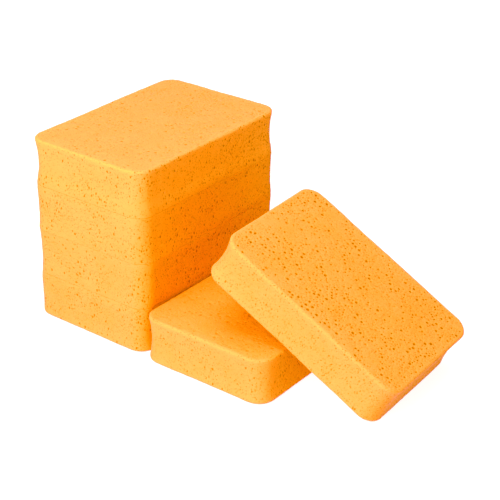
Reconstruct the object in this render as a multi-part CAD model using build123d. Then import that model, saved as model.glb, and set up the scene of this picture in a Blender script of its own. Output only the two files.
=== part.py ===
from build123d import *
import os
from math import cos, radians, sin

# A set of six identical foam grout sponges: four in a stack, one flat on the
# floor against the stack's long side, and one leaning on that one.
# Millimetres and degrees. +X runs along the stack's length, +Z is up, and the
# origin is the middle of the bottom sponge's underside.

# One sponge
LENGTH = 190.5
WIDTH = 133.0
THICKNESS = 43.5
CORNER_RADIUS = 16.0  # of the plan outline
RIM_DEPTH = 12.0      # of the shaped rim round the plain core
FREE_EDGE = 2.5       # rounding of an edge that stands free
PRESSED_EDGE = 0.8    # rounding of an edge pressed against the next sponge
LOOSE_WAIST = 2.0     # how far the sides draw in at half height
STACKED_WAIST = 0.7
TOP_WAIST = 2.2

# The stack, from the floor up:
# name, shift along X, shift along Y, turn, waist, top edge, bottom edge
STACK = [
    ("stack_sponge_bottom", 0.0, 0.0, 0.0, STACKED_WAIST, PRESSED_EDGE, FREE_EDGE),
    ("stack_sponge_lower", 1.2, -0.6, 0.3, STACKED_WAIST, PRESSED_EDGE, PRESSED_EDGE),
    ("stack_sponge_upper", 0.8, -1.2, -0.2, STACKED_WAIST, PRESSED_EDGE, PRESSED_EDGE),
    ("stack_sponge_top", 1.5, -1.5, 0.0, TOP_WAIST, FREE_EDGE, PRESSED_EDGE),
]

# The two loose sponges
CLEARANCE = 0.3       # between sponges that touch along rounded edges
FLAT_SHIFT = -3.0     # flat sponge, along X from the stack's middle
LEAN_SLOPE = 29.8     # leaning sponge, down from the horizontal
LEAN_TURN = 3.8       # its heading, from square to the stack
LEAN_SHIFT = -4.6

CORNER_X = LENGTH / 2 - CORNER_RADIUS
CORNER_Y = WIDTH / 2 - CORNER_RADIUS
HALF_HEIGHT = THICKNESS / 2


def arc_about(centre, start, end):
    """The shorter arc from start to end about centre."""
    middle = ((start - centre) + (end - centre)).normalized()
    return ThreePointArc(start, centre + middle * (start - centre).length, end)


def rim_section(waist, top_edge, bottom_edge):
    """The rim's section, standing in the XZ plane with a plan corner's axis at X 0.

    The side is one hollow arc between the two lips, tangent to both."""
    low = Vector(CORNER_RADIUS - bottom_edge, bottom_edge)
    high = Vector(CORNER_RADIUS - top_edge, THICKNESS - top_edge)
    lip_rise = high.Y - low.Y
    waist_height = (low.Y + high.Y) / 2 + waist * (bottom_edge - top_edge) / lip_rise
    reach = ((waist_height - low.Y) ** 2 + waist**2) / (2 * waist)
    hollow = Vector(low.X - waist + reach, waist_height)
    low_touch = low + (hollow - low).normalized() * bottom_edge
    high_touch = high + (hollow - high).normalized() * top_edge
    outline = [
        arc_about(low, low - Vector(0, bottom_edge), low_touch),
        arc_about(hollow, low_touch, high_touch),
        arc_about(high, high_touch, high + Vector(0, top_edge)),
        Polyline(
            (high.X, THICKNESS),
            (CORNER_RADIUS - RIM_DEPTH, THICKNESS),
            (CORNER_RADIUS - RIM_DEPTH, 0),
            (low.X, 0),
        ),
    ]
    return Plane.XZ * make_face(outline)


def sponge(waist, top_edge, bottom_edge):
    """One sponge, centred in plan, with its underside at Z 0."""
    section = rim_section(waist, top_edge, bottom_edge)
    corner = revolve(section, axis=Axis.Z, revolution_arc=90)
    long_side = extrude(section, amount=2 * CORNER_X, dir=(0, 1, 0))
    short_side = extrude(section, amount=2 * CORNER_Y, dir=(0, 1, 0))
    pieces = []
    plan_corners = [
        (CORNER_X, CORNER_Y, long_side),
        (-CORNER_X, CORNER_Y, short_side),
        (-CORNER_X, -CORNER_Y, long_side),
        (CORNER_X, -CORNER_Y, short_side),
    ]
    for quarter, (x, y, next_side) in enumerate(plan_corners):
        pieces.append(Pos(x, y, 0) * Rot(0, 0, 90 * quarter) * corner)
        pieces.append(Pos(x, y, 0) * Rot(0, 0, 90 * (quarter + 1)) * next_side)
    inner = (LENGTH - 2 * RIM_DEPTH, WIDTH - 2 * RIM_DEPTH, CORNER_RADIUS - RIM_DEPTH)
    core = extrude(RectangleRounded(*inner), amount=THICKNESS)
    return core + pieces


def stacked_sponges():
    """The four sponges of the stack, each resting on the one below."""
    placed = {}
    for level, (name, x, y, turn, waist, top_edge, bottom_edge) in enumerate(STACK):
        place = Pos(x, y, level * THICKNESS) * Rot(0, 0, turn)
        placed[name] = place * sponge(waist, top_edge, bottom_edge)
    return placed


def flat_place():
    """The flat sponge lies against the bottom sponge's long side."""
    return Pos(FLAT_SHIFT, -(WIDTH + CLEARANCE), 0)


def leaning_place():
    """The leaning sponge rests on the flat one's far top edge and, at its low end, on the floor."""
    tilt = Rot(0, 0, LEAN_TURN - 90) * Rot(0, LEAN_SLOPE, 0)
    normal = Plane(tilt).z_dir
    slope = radians(LEAN_SLOPE)
    along = LENGTH / 2 - FREE_EDGE
    across = HALF_HEIGHT - FREE_EDGE
    centre_z = along * sin(slope) + across * cos(slope) + FREE_EDGE

    # The underside's lower side edge is what comes nearest to the flat sponge's lip.
    lip_x = LEAN_SHIFT + WIDTH / 2 - FREE_EDGE
    lip_y = flat_place().position.Y - WIDTH / 2 + FREE_EDGE
    lip_z = THICKNESS - FREE_EDGE
    gap = HALF_HEIGHT + FREE_EDGE + CLEARANCE
    gap -= (LEAN_SHIFT - lip_x) * normal.X + (centre_z - lip_z) * normal.Z
    centre_y = lip_y + gap / normal.Y
    return Pos(LEAN_SHIFT, centre_y, centre_z) * tilt * Pos(0, 0, -HALF_HEIGHT)


loose = sponge(LOOSE_WAIST, FREE_EDGE, FREE_EDGE)
nodes = stacked_sponges()
nodes["flat_sponge"] = flat_place() * loose
nodes["leaning_sponge"] = leaning_place() * loose

os.makedirs("parts", exist_ok=True)
for name, shape in nodes.items():
    export_step(shape, f"parts/{name}.step")
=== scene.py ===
"""Looks for a set of six large tile-grout sponges: four stacked, one against the stack, one leaning on that.

Every sponge is its own closed mesh of die-cut foam. Three flat domains are triangulated, each with its own
pores: the top face, the bottom face and the unrolled side. The side is then wrapped round the sponge, and
the three share the points of their borders. Lengths in the mesh code are millimetres in the sponge's own
frame, with its middle at the origin. The finished meshes are metres in the row frame.
"""

import math
from collections import namedtuple

import bpy
import numpy as np
from mathutils import Matrix, Vector
from mathutils.geometry import delaunay_2d_cdt


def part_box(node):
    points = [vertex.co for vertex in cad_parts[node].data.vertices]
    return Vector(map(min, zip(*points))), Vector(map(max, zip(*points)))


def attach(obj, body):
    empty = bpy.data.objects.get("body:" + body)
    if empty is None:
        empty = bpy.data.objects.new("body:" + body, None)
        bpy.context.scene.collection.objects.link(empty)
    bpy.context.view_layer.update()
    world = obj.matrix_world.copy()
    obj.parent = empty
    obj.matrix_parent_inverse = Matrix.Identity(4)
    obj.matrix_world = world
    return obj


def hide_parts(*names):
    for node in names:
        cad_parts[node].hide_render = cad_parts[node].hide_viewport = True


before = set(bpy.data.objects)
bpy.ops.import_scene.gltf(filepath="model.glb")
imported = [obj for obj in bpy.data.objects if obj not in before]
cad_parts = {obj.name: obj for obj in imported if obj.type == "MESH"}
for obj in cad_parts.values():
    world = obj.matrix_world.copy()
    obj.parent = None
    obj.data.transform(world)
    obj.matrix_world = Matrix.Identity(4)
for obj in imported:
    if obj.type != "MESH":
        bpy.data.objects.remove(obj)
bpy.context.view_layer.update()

MM = 0.001
NODE_LOW, NODE_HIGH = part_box("stack_sponge_bottom")
LENGTH, WIDTH, THICKNESS = (side / MM for side in NODE_HIGH - NODE_LOW)

# The foam's outline and edges.
CORNER_RADIUS = 16.0  # plan corners
FREE_EDGE = 2.5  # edge radius where nothing presses on it
PRESSED_EDGE = 0.35  # edge radius between two stacked sponges
RIDGE = 12.0  # height over which a pressed edge swells out to meet its neighbour
LOOSE_WAIST = 2.0  # how far a side hollows in between its two edges
STACKED_WAIST = 0.7
TOP_WAIST = 2.2
LEAN_SLOPE = 29.8  # degrees from level
LEAN_TURN = 3.8  # degrees off the stack's width
STRAIGHT_X = LENGTH - 2 * CORNER_RADIUS
STRAIGHT_Y = WIDTH - 2 * CORNER_RADIUS
CORNER_ARC = math.pi / 2 * CORNER_RADIUS
PERIMETER = 2 * (STRAIGHT_X + STRAIGHT_Y) + 4 * CORNER_ARC

# The mesh.
ARC_STEPS = 80  # samples along each of a section's three arcs
RIM_STEPS = 300  # points round each face's border
MESH_STEP = 2.6  # spacing of the plain surface's points
FACE_JITTER = 0.3  # how far a face's plain points stray, as a share of the spacing
SIDE_JITTER = 0.28
FACE_MARGIN = 0.5  # how far they keep off its border, as a share of the spacing
SIDE_MARGIN = 1.0  # height next to a side's rounded edges in which its points don't stray
INSIDE_TRIANGLES = 1  # the result asked of the triangulation: triangles within the border
SAME_PLACE = 1e-7  # points nearer than this are one
FREE_ROWS = 6  # rows of points along a free edge's rounding
PRESSED_ROWS = 4

# The surface. Each pair of wavelengths is the shortest and the longest.
SKIN = 0.06  # how far the whole surface is drawn in
UNEVEN = 0.4  # depth of a face's slow hollows
UNEVEN_WAVES = (35, 110)
GRAIN = 0.09  # depth of its small dimples
GRAIN_WAVES = (4, 9)
GRAIN_COUNT = 14
WAVY = 0.35  # how far an edge wanders in
WAVY_WAVES = (45, 140)
WAVY_SEED = 7  # shared, so that stacked edges wander together
WAVY_SQUASH = np.array([1.0, 1.0, 1.6])  # edges wander more from one height to the next
WAVY_REACH = 4.0  # how far in from the outline a wandering edge takes the faces with it
RESTING = 1.5  # height over which a pressed face stays flat

# Pores. Radii and gaps are millimetres, and depths are shares of a pore's smaller radius. A pore's darkness
# is painted shade in its hollow.
WIDE_PORES = (0.75, 1.75)
WIDE_BIAS = 2.8  # the higher, the fewer large ones in the class
SMALL_PORES = (0.42, 0.75)
SMALL_BIAS = 1.3
SIDE_WIDE_SHARE = 1.45  # wide pores on a side, against the same area of a face
TRIES = 3  # places tried for each pore
KEPT_MEAN = 0.62  # chance that a place is used, and its swing between clusters and bare patches
KEPT_SWING = 0.55
KEPT_LEAST = 0.08
CLUSTER_WAVES = (14, 60)
PORE_GAP = 0.25  # foam left between two pores
WIDE_STEPS = 8  # points round a pore's rim
SMALL_STEPS = 6
WOBBLE = (-0.16, 0.1)  # how far the rim strays, as a share of the radius
PORE_SHADES = (0.4, 1.1)  # darkness, from faint to full
PORE_DEPTH = 0.42  # at the centre. Walls under 33 degrees bake as one island with the face
RING_PLACE = 0.7  # a wide pore's inner ring: its radius as a share of the rim's, its depth and darkness
RING_DEPTH = 0.15
RING_SHADE = 0.9
PORE_STRETCH = 1.7  # side pores are taller than they are wide
CLEAR_SHARE = 1.25  # plain points keep this many radii and this far off a pore
CLEAR_GAP = 0.35
CLEAR_CELL = 4.0  # size of the cells that pores are looked up in

# Painted highlight: paler foam towards a free edge, for light glowing through its thin lip. Its strength and
# reach, near the edge and further in.
NEAR_HIGHLIGHT = (0.2, 3.5)
FAR_HIGHLIGHT = (0.5, 9.0)

# One row for each sponge. Turn and slope are degrees, wide and small are how many pores a large face is
# offered, and the shades say how strong the painted shade in the pores of the top face and of the sides is.
Sponge = namedtuple(
    "Sponge", "node body turn slope top_edge bottom_edge waist wide small top_shade side_shade seed")
SPONGES = [
    Sponge("stack_sponge_bottom", "stack_bottom", 0.0, 0.0,
           PRESSED_EDGE, FREE_EDGE, STACKED_WAIST, 600, 1700, 0.8, 1.0, 11),
    Sponge("stack_sponge_lower", "stack_lower", 0.3, 0.0,
           PRESSED_EDGE, PRESSED_EDGE, STACKED_WAIST, 600, 1700, 0.8, 1.0, 12),
    Sponge("stack_sponge_upper", "stack_upper", -0.2, 0.0,
           PRESSED_EDGE, PRESSED_EDGE, STACKED_WAIST, 600, 1700, 0.8, 1.0, 13),
    Sponge("stack_sponge_top", "stack_top", 0.0, 0.0,
           FREE_EDGE, PRESSED_EDGE, TOP_WAIST, 600, 1700, 0.5, 1.0, 14),
    Sponge("flat_sponge", "flat", 0.0, 0.0,
           FREE_EDGE, FREE_EDGE, LOOSE_WAIST, 560, 1500, 0.45, 0.65, 15),
    Sponge("leaning_sponge", "leaning", LEAN_TURN - 90, LEAN_SLOPE,
           FREE_EDGE, FREE_EDGE, LOOSE_WAIST, 960, 2700, 0.88, 0.5, 16),
]
PATTERN_STEP = np.array([300.0, 170.0, 90.0])  # from one sponge's part of the foam pattern to the next's
FIRST_PATTERN = 10  # the seeds count on from here


# Shape

def side_section(top_edge, bottom_edge, waist):
    """The section of a side, sampled from the bottom face's border to the top face's: the distance along it,
    the place (out from the nominal side, up from the middle) and the angle of the outward normal."""
    low = Vector((-bottom_edge, bottom_edge - THICKNESS / 2))
    high = Vector((-top_edge, THICKNESS / 2 - top_edge))
    waist_height = (low.y + high.y) / 2 + waist * (bottom_edge - top_edge) / (high.y - low.y)
    reach = ((waist_height - low.y) ** 2 + waist**2) / (2 * waist)
    hollow = Vector((low.x - waist + reach, waist_height))
    low_angle = math.atan2(hollow.y - low.y, hollow.x - low.x)
    high_angle = math.atan2(hollow.y - high.y, hollow.x - high.x)
    arcs = (
        (low, bottom_edge, -math.pi / 2, low_angle),
        (hollow, bottom_edge - reach, low_angle, high_angle),
        (high, top_edge, high_angle, math.pi / 2),
    )
    angles = np.concatenate([np.linspace(start, end, ARC_STEPS) for _, _, start, end in arcs])
    centres = np.repeat([tuple(centre) for centre, _, _, _ in arcs], ARC_STEPS, axis=0)
    radii = np.repeat([radius for _, radius, _, _ in arcs], ARC_STEPS)
    places = centres + radii[:, None] * np.stack([np.cos(angles), np.sin(angles)], 1)
    hollow_part = slice(ARC_STEPS, 2 * ARC_STEPS)
    for edge, rise in ((bottom_edge, places[:, 1] - low.y), (top_edge, high.y - places[:, 1])):
        if edge == PRESSED_EDGE:
            blend = np.clip(rise / RIDGE, 0, 1)
            places[hollow_part, 0] *= (blend * blend * (3 - 2 * blend))[hollow_part]
    along = np.concatenate([[0], np.cumsum(np.linalg.norm(np.diff(places, axis=0), axis=1))])
    return along, places[:, 0], places[:, 1], angles


def outline(along):
    """Places and outward directions on the rounded rectangle, anticlockwise from its +Y side's +X end."""
    along = np.mod(along, PERIMETER)
    place = np.zeros((len(along), 2))
    outward = np.zeros((len(along), 2))
    start = 0.0
    corner = np.array([STRAIGHT_X / 2, STRAIGHT_Y / 2])
    facing = math.pi / 2
    for straight in (STRAIGHT_X, STRAIGHT_Y, STRAIGHT_X, STRAIGHT_Y):
        normal = np.array([math.cos(facing), math.sin(facing)])
        forward = np.array([-normal[1], normal[0]])
        run = along - start
        on_side = (run >= 0) & (run <= straight)
        side_start = corner + CORNER_RADIUS * normal
        place[on_side] = side_start + run[on_side, None] * forward
        outward[on_side] = normal
        corner = corner + straight * forward
        past = run - straight
        on_corner = (past > 0) & (past <= CORNER_ARC + 1e-9)
        angle = facing + past[on_corner] / CORNER_RADIUS
        around = np.stack([np.cos(angle), np.sin(angle)], 1)
        place[on_corner] = corner + CORNER_RADIUS * around
        outward[on_corner] = around
        start += straight + CORNER_ARC
        facing += math.pi / 2
    return place, outward


def inside_by(x, y):
    """How far a place in plan lies inside the rounded rectangle."""
    over_x = np.abs(x) - STRAIGHT_X / 2
    over_y = np.abs(y) - STRAIGHT_Y / 2
    corner = np.hypot(np.maximum(over_x, 0), np.maximum(over_y, 0))
    return CORNER_RADIUS - corner - np.minimum(np.maximum(over_x, over_y), 0)


def waves(rng, shortest, longest, count=9):
    """A smooth random field over places in the foam, mostly from -1 to 1."""
    heading = rng.normal(size=(count, 3))
    heading /= np.linalg.norm(heading, axis=1)[:, None]
    ripple = heading * (2 * math.pi / rng.uniform(shortest, longest, count))[:, None]
    phase = rng.uniform(0, 2 * math.pi, count)

    def field(points):
        return np.sin(points @ ripple.T + phase).sum(1) / math.sqrt(count)

    return field


# Pores

def scatter(rng, wide, small, size, density, place_of, keep_off):
    """Pore centres and radii in a flat domain, widest first, with none touching another or the border."""
    radii = np.concatenate([
        WIDE_PORES[0] + (WIDE_PORES[1] - WIDE_PORES[0]) * rng.random(wide) ** WIDE_BIAS,
        SMALL_PORES[0] + (SMALL_PORES[1] - SMALL_PORES[0]) * rng.random(small) ** SMALL_BIAS,
    ])
    radii = np.sort(radii)[::-1]
    spots = rng.random((len(radii) * TRIES, 2)) * size
    chance = np.clip(KEPT_MEAN + KEPT_SWING * density(place_of(spots)), KEPT_LEAST, 1)
    wanted = rng.random(len(spots)) < chance
    cell = 2 * WIDE_PORES[1] + PORE_GAP
    taken = {}
    pores = []
    for number, radius in enumerate(radii):
        for k in range(number * TRIES, (number + 1) * TRIES):
            spot = spots[k]
            if not wanted[k] or not keep_off(spot, radius):
                continue
            column, row = int(spot[0] // cell), int(spot[1] // cell)
            cells = [(column + i, row + j) for i in (-1, 0, 1) for j in (-1, 0, 1)]
            near = [pore for key in cells for pore in taken.get(key, ())]
            if any(math.hypot(spot[0] - x, spot[1] - y) < radius + other + PORE_GAP for x, y, other in near):
                continue
            pore = (float(spot[0]), float(spot[1]), float(radius))
            taken.setdefault((column, row), []).append(pore)
            pores.append(pore)
            break
    return np.array(pores)


def pore_points(rng, pores, stretch):
    """Rim, inner ring and centre of every pore: places in the domain, their depth and the strength of the
    painted shade there.
    """
    places, depths, shades = [], [], []
    for x, y, radius in pores:
        is_wide = radius > WIDE_PORES[0]
        steps = WIDE_STEPS if is_wide else SMALL_STEPS
        darkness = rng.uniform(*PORE_SHADES)
        angles = math.tau * (rng.random() + np.arange(steps)) / steps
        wobble = radius * (1 + rng.uniform(*WOBBLE, steps))
        across = radius / stretch
        ring = np.stack([np.cos(angles) / stretch, np.sin(angles)], 1) * wobble[:, None]
        rings = [(ring, 0.0, 0.0)]
        if is_wide:
            rings.append((ring * RING_PLACE, RING_DEPTH * across, RING_SHADE * darkness))
        rings.append((np.zeros((1, 2)), PORE_DEPTH * across, darkness))
        for spots, depth, shade in rings:
            places.append(spots + (x, y))
            depths.append(np.full(len(spots), depth))
            shades.append(np.full(len(spots), shade))
    return np.concatenate(places), np.concatenate(depths), np.concatenate(shades)


def clear_of(points, pores, stretch):
    """Which plain points lie outside every pore."""
    keep = np.ones(len(points), bool)
    table = {}
    for x, y, radius in pores:
        column, row = int(x // CLEAR_CELL), int(y // CLEAR_CELL)
        for i in (-1, 0, 1):
            for j in (-1, 0, 1):
                table.setdefault((column + i, row + j), []).append((x, y, radius))
    for k, (x, y) in enumerate(points):
        near = table.get((int(x // CLEAR_CELL), int(y // CLEAR_CELL)), ())
        keep[k] = all(
            math.hypot((x - pore_x) * stretch, y - pore_y) >= radius * CLEAR_SHARE + CLEAR_GAP
            for pore_x, pore_y, radius in near)
    return keep


# Mesh

def triangles(points, border):
    """Triangles over the points inside the border, a closed loop of their numbers, all anticlockwise."""
    spots = [Vector(p) for p in points.tolist()]
    _, _, faces, sources, _, _ = delaunay_2d_cdt(
        spots, [], [border], INSIDE_TRIANGLES, SAME_PLACE, True)
    source = np.array([s[0] for s in sources])
    found = source[np.array(faces)]
    a, b, c = (points[found[:, k]] for k in range(3))
    area = (b[:, 0] - a[:, 0]) * (c[:, 1] - a[:, 1]) - (b[:, 1] - a[:, 1]) * (c[:, 0] - a[:, 0])
    found[area < 0] = found[area < 0][:, ::-1]
    return found


def fill_domain(border, pore_parts, plain):
    """Joins the points of the pores and the plain surface inside a border and triangulates them: the inner
    points, their depth and shade, and triangles in which the border's points are numbered first."""
    places, depths, shades = pore_parts
    inner = np.concatenate([places, plain])
    found = triangles(np.concatenate([border, inner]), list(range(len(border))))
    level = np.zeros(len(plain))
    return inner, np.concatenate([depths, level]), np.concatenate([shades, level]), found


def face_domain(rng, sponge, edge, rim, density):
    """A flat face filled inside its rim."""
    half = np.array([LENGTH / 2, WIDTH / 2])

    def keep_off(spot, radius):
        return inside_by(spot[0] - half[0], spot[1] - half[1]) > edge + radius + PORE_GAP

    def place_of(spots):
        return np.column_stack([spots - half, np.zeros(len(spots))])

    pores = scatter(rng, sponge.wide, sponge.small, 2 * half, density, place_of, keep_off)
    pores[:, :2] -= half
    pore_parts = pore_points(rng, pores, 1.0)
    columns = np.arange(-half[0], half[0], MESH_STEP)
    rows = np.arange(-half[1], half[1], MESH_STEP)
    plain = np.stack(np.meshgrid(columns, rows), -1).reshape(-1, 2)
    plain = plain + rng.uniform(-FACE_JITTER, FACE_JITTER, plain.shape) * MESH_STEP
    plain = plain[inside_by(plain[:, 0], plain[:, 1]) > edge + FACE_MARGIN * MESH_STEP]
    plain = plain[clear_of(plain, pores, 1.0)]
    return fill_domain(rim, pore_parts, plain)


def band_domain(rng, sponge, section, density):
    """The unrolled side: the heights of its rows, and the side filled inside its border, which is the bottom
    row, the right end, the top row and the left end."""
    reach = section[0][-1]
    low_end, high_end = section[0][ARC_STEPS - 1], section[0][2 * ARC_STEPS]
    low_rows = np.linspace(0, low_end, FREE_ROWS if sponge.bottom_edge == FREE_EDGE else PRESSED_ROWS)
    high_rows = np.linspace(high_end, reach, FREE_ROWS if sponge.top_edge == FREE_EDGE else PRESSED_ROWS)
    middle_rows = np.linspace(low_end, high_end, int((high_end - low_end) / MESH_STEP) + 1)
    rows = np.concatenate([low_rows, middle_rows[1:-1], high_rows])
    steps = np.linspace(0, PERIMETER, RIM_STEPS + 1)

    def keep_off(spot, radius):
        low_limit = radius + PORE_GAP + (0 if sponge.bottom_edge == FREE_EDGE else low_end)
        high_limit = radius + PORE_GAP + (0 if sponge.top_edge == FREE_EDGE else reach - high_end)
        along = spot[0] / PORE_STRETCH
        aside = radius / PORE_STRETCH + PORE_GAP
        return low_limit < spot[1] < reach - high_limit and aside < along < PERIMETER - aside

    def place_of(spots):
        place, _ = outline(spots[:, 0] / PORE_STRETCH)
        return np.column_stack([place, spots[:, 1]])

    size = np.array([PERIMETER * PORE_STRETCH, reach])
    share = PERIMETER * reach / (LENGTH * WIDTH)
    wide = int(sponge.wide * share * SIDE_WIDE_SHARE)
    small = int(sponge.small * share)
    pores = scatter(rng, wide, small, size, density, place_of, keep_off)
    pores[:, 0] /= PORE_STRETCH
    pore_parts = pore_points(rng, pores, PORE_STRETCH)
    plain = np.stack(np.meshgrid(steps[1:-1], rows[1:-1]), -1).reshape(-1, 2)
    loose = (plain[:, 1] > low_end + SIDE_MARGIN) & (plain[:, 1] < high_end - SIDE_MARGIN)
    plain[loose] += rng.uniform(-SIDE_JITTER, SIDE_JITTER, (loose.sum(), 2)) * MESH_STEP
    plain = plain[clear_of(plain, pores, PORE_STRETCH)]
    low_border = np.column_stack([steps, np.zeros(len(steps))])
    high_border = np.column_stack([steps, np.full(len(steps), reach)])
    left = np.column_stack([np.zeros(len(rows) - 2), rows[1:-1]])
    right = left + (PERIMETER, 0)
    border = np.concatenate([low_border, right, high_border[::-1], left[::-1]])
    return rows, fill_domain(border, pore_parts, plain)


def wrap(places, section):
    """Carries places on the unrolled side onto the sponge: local places and outward normals."""
    along, out, up, angle = section
    rim, outward = outline(places[:, 0])
    distance = np.interp(places[:, 1], along, out)
    height = np.interp(places[:, 1], along, up)
    facing = np.interp(places[:, 1], along, angle)
    flat = rim + distance[:, None] * outward
    points = np.column_stack([flat, height])
    normals = np.column_stack([np.cos(facing)[:, None] * outward, np.sin(facing)])
    return points, normals


def foam_mesh(sponge):
    """One closed sponge in its own frame before it is dented: places, normals, pore depth and painted pore
    shade, triangles, and the random stream for what follows."""
    rng = np.random.default_rng(sponge.seed)
    section = side_section(sponge.top_edge, sponge.bottom_edge, sponge.waist)
    reach = section[0][-1]
    density = waves(rng, *CLUSTER_WAVES)
    rows, band = band_domain(rng, sponge, section, density)
    side, side_depth, side_shade, side_faces = band
    steps = np.linspace(0, PERIMETER, RIM_STEPS + 1)[:-1]
    low_rim, low_normals = wrap(np.column_stack([steps, np.zeros(RIM_STEPS)]), section)
    high_rim, high_normals = wrap(np.column_stack([steps, np.full(RIM_STEPS, reach)]), section)
    seam, seam_normals = wrap(np.column_stack([np.zeros(len(rows) - 2), rows[1:-1]]), section)
    side_points, side_normals = wrap(side, section)
    bottom, bottom_depth, bottom_shade, bottom_faces = face_domain(
        rng, sponge, sponge.bottom_edge, low_rim[:, :2], density)
    top, top_depth, top_shade, top_faces = face_domain(
        rng, sponge, sponge.top_edge, high_rim[:, :2], density)

    # The borders that the domains share come first, and each domain's own points follow.
    groups = [low_rim, high_rim, seam, side_points]
    groups += [np.column_stack([bottom, np.full(len(bottom), -THICKNESS / 2)])]
    groups += [np.column_stack([top, np.full(len(top), THICKNESS / 2)])]
    starts = np.concatenate([[0], np.cumsum([len(g) for g in groups])])
    low = starts[0] + np.append(np.arange(RIM_STEPS), 0)
    high = starts[1] + np.append(np.arange(RIM_STEPS), 0)
    cut = starts[2] + np.arange(len(seam))
    side_numbers = np.concatenate([low, cut, high[::-1], cut[::-1], starts[3] + np.arange(len(side))])
    bottom_numbers = np.concatenate([low[:-1], starts[4] + np.arange(len(bottom))])
    top_numbers = np.concatenate([high[:-1], starts[5] + np.arange(len(top))])
    faces = np.concatenate([
        side_numbers[side_faces],
        bottom_numbers[bottom_faces][:, ::-1],
        top_numbers[top_faces],
    ])
    points = np.concatenate(groups)
    normals = np.concatenate([
        low_normals, high_normals, seam_normals, side_normals,
        np.tile((0.0, 0.0, -1.0), (len(bottom), 1)), np.tile((0.0, 0.0, 1.0), (len(top), 1)),
    ])
    plain = np.zeros(starts[3])
    depth = np.concatenate([plain, side_depth, bottom_depth, top_depth])
    shade = np.concatenate(
        [plain, side_shade * sponge.side_shade, bottom_shade, top_shade * sponge.top_shade])
    return points, normals, depth, shade, faces, rng


def settle(sponge, points, normals, depth, rng, centre):
    """Sinks the pores, lets the faces roll a little and the edges wander in. A pressed edge that stands out
    past its neighbour's is drawn in to it, so that a seam in the stack is a low ridge and not a step."""
    uneven = waves(rng, *UNEVEN_WAVES)
    wavy = waves(np.random.default_rng(WAVY_SEED), *WAVY_WAVES)
    grain = waves(rng, *GRAIN_WAVES, GRAIN_COUNT)
    to_top = THICKNESS / 2 - points[:, 2]
    to_bottom = THICKNESS / 2 + points[:, 2]
    pressed = []
    if sponge.top_edge == PRESSED_EDGE:
        pressed.append((to_top, 1))
    if sponge.bottom_edge == PRESSED_EDGE:
        pressed.append((to_bottom, -1))
    rests = np.zeros(len(points))
    for distance, _ in pressed:
        rests = np.maximum(rests, np.exp(-((distance / RESTING) ** 2)))
    roll = SKIN + UNEVEN * (1 - rests) * np.clip(0.5 + 0.5 * uneven(points), 0, 1)
    roll += GRAIN * (1 - rests) * np.clip(1 + grain(points), 0, 2)
    moved = points - normals * (depth + roll)[:, None]

    sideways = normals[:, :2] / np.maximum(np.linalg.norm(normals[:, :2], axis=1), 1e-9)[:, None]
    plan = np.where(np.abs(normals[:, 2:]) > 0.999, outward_of(points), sideways)
    inside = inside_by(points[:, 0], points[:, 1])
    rim_share = np.exp(-(inside / WAVY_REACH) ** 2)
    drawn_in = WAVY * np.clip(0.5 + 0.5 * wavy((points + centre) * WAVY_SQUASH), 0, 1)
    rim = points[:, :2] + plan * inside[:, None]
    for distance, step in pressed:
        drawn_in += past_neighbour(sponge, step, rim) * np.clip(1 - distance / RIDGE, 0, 1) ** 2
    moved[:, :2] -= plan * (drawn_in * rim_share)[:, None]
    return moved


def centre_of(node):
    """The middle of a node's box, in millimetres in the row frame."""
    low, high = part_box(node)
    return np.array((low + high) / 2) / MM


def plan_axes(degrees):
    """The X and Y axes of a sponge turned in plan, as columns."""
    angle = math.radians(degrees)
    return np.array([[math.cos(angle), -math.sin(angle)], [math.sin(angle), math.cos(angle)]])


def past_neighbour(sponge, step, rim):
    """How far places on a sponge's outline stand out past the sponge above it (1) or below it (-1)."""
    neighbour = SPONGES[SPONGES.index(sponge) + step]
    apart = (centre_of(sponge.node) - centre_of(neighbour.node))[:2]
    there = (rim @ plan_axes(sponge.turn).T + apart) @ plan_axes(neighbour.turn)
    return np.maximum(-inside_by(there[:, 0], there[:, 1]), 0)


def outward_of(points):
    """The outward direction in plan at each place."""
    over = np.abs(points[:, :2]) - np.array([STRAIGHT_X, STRAIGHT_Y]) / 2
    towards = np.maximum(over, 0)
    flat = (towards == 0).all(1)
    towards[flat & (over[:, 0] >= over[:, 1]), 0] = 1
    towards[flat & (over[:, 0] < over[:, 1]), 1] = 1
    towards = towards / np.linalg.norm(towards, axis=1)[:, None]
    return towards * np.sign(points[:, :2] + 1e-12)


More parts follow.
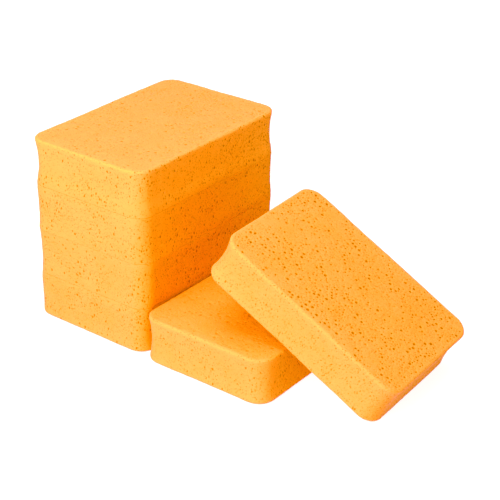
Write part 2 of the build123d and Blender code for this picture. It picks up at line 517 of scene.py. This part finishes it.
def add_sponge(sponge, material):
    """Builds one sponge where its CAD solid is."""
    points, normals, depth, shade, faces, rng = foam_mesh(sponge)
    centre = centre_of(sponge.node)
    moved = settle(sponge, points, normals, depth, rng, centre)
    # Painted highlight along the free edges, strong near an edge and fading further in.
    to_edge = np.hypot(inside_by(points[:, 0], points[:, 1]), THICKNESS / 2 - np.abs(points[:, 2]))
    free = np.where(points[:, 2] > 0, sponge.top_edge == FREE_EDGE, sponge.bottom_edge == FREE_EDGE)
    edge_highlight = NEAR_HIGHLIGHT[0] * np.exp(-((to_edge / NEAR_HIGHLIGHT[1]) ** 2))
    edge_highlight = (edge_highlight + FAR_HIGHLIGHT[0] * np.exp(-to_edge / FAR_HIGHLIGHT[1])) * free
    stand = Matrix.Translation(Vector(centre) * MM)
    stand = stand @ Matrix.Rotation(math.radians(sponge.turn), 4, "Z")
    stand = stand @ Matrix.Rotation(math.radians(sponge.slope), 4, "Y")
    turned = np.array(stand.to_3x3())
    world = moved * MM @ turned.T + np.array(stand.translation)

    mesh = bpy.data.meshes.new("foam_" + sponge.node)
    mesh.from_pydata(world.tolist(), [], faces.tolist())
    # Per point: the strength of the painted shade in pores, and of the painted highlight along free edges.
    for name, values in (("pore", shade), ("edge_highlight", edge_highlight)):
        layer = mesh.attributes.new(name, "FLOAT", "POINT")
        layer.data.foreach_set("value", values.astype(np.float32))
    place = mesh.attributes.new("foam_place", "FLOAT_VECTOR", "POINT")
    offset = PATTERN_STEP * (sponge.seed - FIRST_PATTERN)
    place.data.foreach_set("vector", (moved + offset).astype(np.float32).ravel())
    mesh.polygons.foreach_set("use_smooth", [True] * len(mesh.polygons))
    mesh.materials.append(material)
    mesh.validate()
    piece = bpy.data.objects.new("foam_" + sponge.node, mesh)
    bpy.context.scene.collection.objects.link(piece)
    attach(piece, sponge.body)
    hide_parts(sponge.node)


# Material

FOAM = (0.83, 0.276, 0.0265, 1)
FOAM_DEEP = (0.79, 0.235, 0.018, 1)
# Colour of the painted highlight along free edges.
FOAM_HIGHLIGHT = (0.90, 0.335, 0.036, 1)
# Colour of the painted shade in pores.
PAINTED_PORE_SHADE = (0.42, 0.116, 0.009, 1)

# Noise and cell scales are per millimetre.
MOTTLE_SCALE = 0.045
GRAIN_SCALE = 1.1
ROUGH_SCALE = 0.8
WIDE_CELLS = (0.42, 0.12, 0.26)  # scale, and how far from a cell's middle its dark core and its rim end
FINE_CELLS = (0.8, 0.14, 0.34)
UPRIGHT = (1.0, 1.0, 0.62)  # cells are taller than they are wide
# Strength of the painted highlight along free edges.
HIGHLIGHT_STRENGTH = 0.6
ROUGH_HEIGHT = 0.35  # of the bump's distance, as is the pits' depth
PIT_DEPTH = 0.6
BUMP_DISTANCE = 0.0006  # metres


class Nodes:
    """A material's node tree, with short calls to add and link nodes."""

    def __init__(self, name):
        self.material = bpy.data.materials.new(name)
        self.material.use_nodes = True
        self.tree = self.material.node_tree
        self.shader = self.tree.nodes["Principled BSDF"]

    def add(self, kind, inputs=None, **settings):
        node = self.tree.nodes.new("ShaderNode" + kind)
        for key, value in settings.items():
            setattr(node, key, value)
        for key, value in (inputs or {}).items():
            self.put(node.inputs[key], value)
        return node

    def put(self, socket, value):
        if isinstance(value, bpy.types.NodeSocket):
            self.tree.links.new(value, socket)
        else:
            socket.default_value = value

    def surface(self, settings):
        """Sets or links the shader's own sockets."""
        for name, value in settings.items():
            self.put(self.shader.inputs[name], value)

    def math(self, operation, *values):
        node = self.add("Math", operation=operation)
        for socket, value in zip(node.inputs, values):
            self.put(socket, value)
        return node.outputs[0]

    def ramp(self, value, low, high, start=0.0, end=1.0):
        """A smooth step from start, where the value is low, to end, where it is high."""
        inputs = {"Value": value, "From Min": low, "From Max": high, "To Min": start, "To Max": end}
        return self.add("MapRange", inputs, interpolation_type="SMOOTHSTEP").outputs["Result"]

    def mix(self, factor, first, second):
        """A colour from first (factor 0) to second (1). The Mix node's colour sockets are 6, 7 and 2."""
        node = self.add("Mix", data_type="RGBA")
        self.put(node.inputs[0], factor)
        self.put(node.inputs[6], first)
        self.put(node.inputs[7], second)
        return node.outputs[2]


def cell_dots(nodes, place, scale, core, rim):
    """Round voids cut open by the surface, some faint and some full, for bump pits and painted shade: 1
    inside, 0 outside.
    """
    inputs = {"Vector": place, "Scale": scale, "Randomness": 1.0}
    cells = nodes.add("TexVoronoi", inputs, feature="F1")
    strength = nodes.add("SeparateColor", {0: cells.outputs["Color"]}).outputs[0]
    return nodes.math("MULTIPLY", nodes.ramp(cells.outputs["Distance"], core, rim, 1.0, 0.0), strength)


def noise(nodes, place, scale, detail, roughness=0.5):
    """Smooth noise, about 0.5 on average."""
    inputs = {"Vector": place, "Scale": scale, "Detail": detail, "Roughness": roughness}
    return nodes.add("TexNoise", inputs).outputs["Fac"]


def foam_material():
    """Open-cell polyurethane foam: orange-yellow, matt, with painted shade in its pores and fine cells, a
    painted highlight along free edges and slow mottling.
    """
    nodes = Nodes("sponge_foam")
    place = nodes.add("Attribute", attribute_name="foam_place").outputs["Vector"]
    pore = nodes.add("Attribute", attribute_name="pore").outputs["Fac"]
    edge_highlight = nodes.add("Attribute", attribute_name="edge_highlight").outputs["Fac"]
    tall = nodes.add("VectorMath", {0: place, 1: UPRIGHT}, operation="MULTIPLY").outputs[0]

    mottle = nodes.ramp(noise(nodes, place, MOTTLE_SCALE, 3.0), 0.35, 0.68, end=0.3)
    colour = nodes.mix(mottle, FOAM, FOAM_DEEP)
    # Painted highlight: paler foam along free edges, for light glowing through the thin lips.
    colour = nodes.mix(nodes.math("MULTIPLY", edge_highlight, HIGHLIGHT_STRENGTH), colour, FOAM_HIGHLIGHT)
    grain = nodes.ramp(noise(nodes, tall, GRAIN_SCALE, 2.0), 0.3, 0.75, end=0.5)
    colour = nodes.mix(grain, colour, FOAM_DEEP)

    # Painted shade in the pores and the fine cells: the colour goes dark where the surface opens into them.
    pits = nodes.math("MAXIMUM", cell_dots(nodes, tall, *WIDE_CELLS), cell_dots(nodes, tall, *FINE_CELLS))
    dark = nodes.math("MAXIMUM", nodes.ramp(pore, 0.0, 0.7), pits)
    colour = nodes.mix(dark, colour, PAINTED_PORE_SHADE)

    rough = noise(nodes, tall, ROUGH_SCALE, 4.0, 0.6)
    swell = nodes.math("MULTIPLY", rough, ROUGH_HEIGHT)
    height = nodes.math("SUBTRACT", swell, nodes.math("MULTIPLY", pits, PIT_DEPTH))
    bump = nodes.add("Bump", {"Height": height, "Strength": 0.5, "Distance": BUMP_DISTANCE})
    nodes.surface({
        "Base Color": colour,
        "Normal": bump.outputs["Normal"],
        "Roughness": nodes.ramp(rough, 0.2, 0.8, 0.82, 0.96),
        "Specular IOR Level": 0.04,
        "Sheen Weight": 0.02,
        "Sheen Roughness": 0.55,
        "Sheen Tint": (1.0, 0.86, 0.62, 1),
    })
    return nodes.material


# Studio

# Linear blue in and out: pale lit foam, and shade in rich orange as a camera gives it.
BLUE_CURVE = (
    (0.0, 0.0), (0.024, 0.001), (0.030, 0.005), (0.042, 0.043), (0.049, 0.078),
    (0.056, 0.115), (0.063, 0.135), (0.11, 0.2), (0.4, 0.45), (1.0, 1.0),
)
FLOOR_SIZE = 12.0
FLOOR_DROP = 0.0002  # keeps the floor just under the sponges
FLOOR_GREYS = ((0.32, 0.32, 0.32, 1), (0.34, 0.34, 0.34, 1))
FLOOR_GLOW = (0.2, 1.3, 0.85, 1.15)  # two distances from the middle, and the floor's own light at each
SKY = 0.64  # strength of the light from all round
SET_MIDDLE = Vector((0.0, -0.1, 0.08))
LIGHTS = {  # direction from the middle of the set, distance, size and power
    "left": ((-0.86, -0.07, 0.51), 1.1, 0.9, 17.2),
    "overhead": ((0.0, 0.05, 1.0), 1.6, 1.2, 20.0),
}
CAMERA_PITCH = 27.107  # degrees down
CAMERA_TURN = -51.873  # degrees round from looking along +Y
CAMERA_DISTANCE = 1.409084  # metres along the view, from the stack's foot
CAMERA_ASIDE = (-0.086087, -0.040622)  # the stack's foot in the view, right and up
SENSOR_WIDTH = 36.0  # millimetres
FOCAL_LENGTH = 107.442


def add_camera():
    """A long lens that looks down at the stack's -X -Y corner."""
    pitch, turn = math.radians(CAMERA_PITCH), math.radians(CAMERA_TURN)
    right = Vector((math.cos(turn), math.sin(turn), 0))
    level = Vector((math.sin(turn), -math.cos(turn), 0))
    back = level * math.cos(pitch) + Vector((0, 0, math.sin(pitch)))
    up = back.cross(right)
    data = bpy.data.cameras.new("camera")
    data.lens = FOCAL_LENGTH
    data.sensor_width = SENSOR_WIDTH
    camera = bpy.data.objects.new("camera", data)
    axes = Matrix((right, up, back)).transposed()
    place = back * CAMERA_DISTANCE - right * CAMERA_ASIDE[0] - up * CAMERA_ASIDE[1]
    camera.matrix_world = Matrix.Translation(place) @ axes.to_4x4()
    bpy.context.scene.collection.objects.link(camera)
    bpy.context.scene.camera = camera


def add_light(name, towards, distance, size, power):
    """A square soft box that looks at the middle of the set from a direction."""
    data = bpy.data.lights.new(name, "AREA")
    data.shape = "SQUARE"
    data.size = size
    data.energy = power
    light = bpy.data.objects.new(name, data)
    heading = Vector(towards).normalized()
    light.location = SET_MIDDLE + heading * distance
    light.rotation_euler = heading.to_track_quat("Z", "Y").to_euler()
    bpy.context.scene.collection.objects.link(light)


def floor_material():
    """A pale floor with a little light of its own, so that it comes out white like a lit sweep."""
    nodes = Nodes("pale_floor")
    cloud = nodes.add("TexNoise", {"Scale": 3.0, "Detail": 2.0}).outputs["Fac"]
    place = nodes.add("TexCoord").outputs["Object"]
    away = nodes.add("VectorMath", {0: place}, operation="LENGTH").outputs["Value"]
    nodes.surface({
        "Base Color": nodes.mix(nodes.ramp(cloud, 0.3, 0.7), *FLOOR_GREYS),
        "Roughness": 0.9,
        "Specular IOR Level": 0.0,
        "Emission Color": (1, 1, 1, 1),
        "Emission Strength": nodes.ramp(away, *FLOOR_GLOW),
    })
    return nodes.material


def add_studio():
    """The floor, the soft light from all round and the two soft boxes."""
    half = FLOOR_SIZE / 2
    mesh = bpy.data.meshes.new("floor")
    corners = [(-half, -half, 0), (half, -half, 0), (half, half, 0), (-half, half, 0)]
    mesh.from_pydata(corners, [], [(0, 1, 2, 3)])
    mesh.materials.append(floor_material())
    floor = bpy.data.objects.new("floor", mesh)
    floor.location.z = -FLOOR_DROP
    bpy.context.scene.collection.objects.link(floor)

    world = bpy.data.worlds.new("studio")
    world.use_nodes = True
    background = world.node_tree.nodes["Background"]
    background.inputs["Color"].default_value = (1, 1, 1, 1)
    background.inputs["Strength"].default_value = SKY
    bpy.context.scene.world = world
    for name, (towards, distance, size, power) in LIGHTS.items():
        add_light(name, towards, distance, size, power)


def grade():
    """Plain colour management, with the richer shadows in orange that a camera gives."""
    scene = bpy.context.scene
    scene.cycles.max_bounces = 16
    scene.cycles.diffuse_bounces = 3
    scene.view_settings.view_transform = "Standard"
    scene.view_settings.use_curve_mapping = True
    curves = scene.view_settings.curve_mapping
    blue = curves.curves[2]
    blue.points[0].location = BLUE_CURVE[0]
    blue.points[-1].location = BLUE_CURVE[-1]
    for spot in BLUE_CURVE[1:-1]:
        blue.points.new(*spot)
    for point in blue.points:
        point.handle_type = "VECTOR"
    curves.update()


foam = foam_material()
for sponge in SPONGES:
    add_sponge(sponge, foam)
add_camera()
add_studio()
grade()
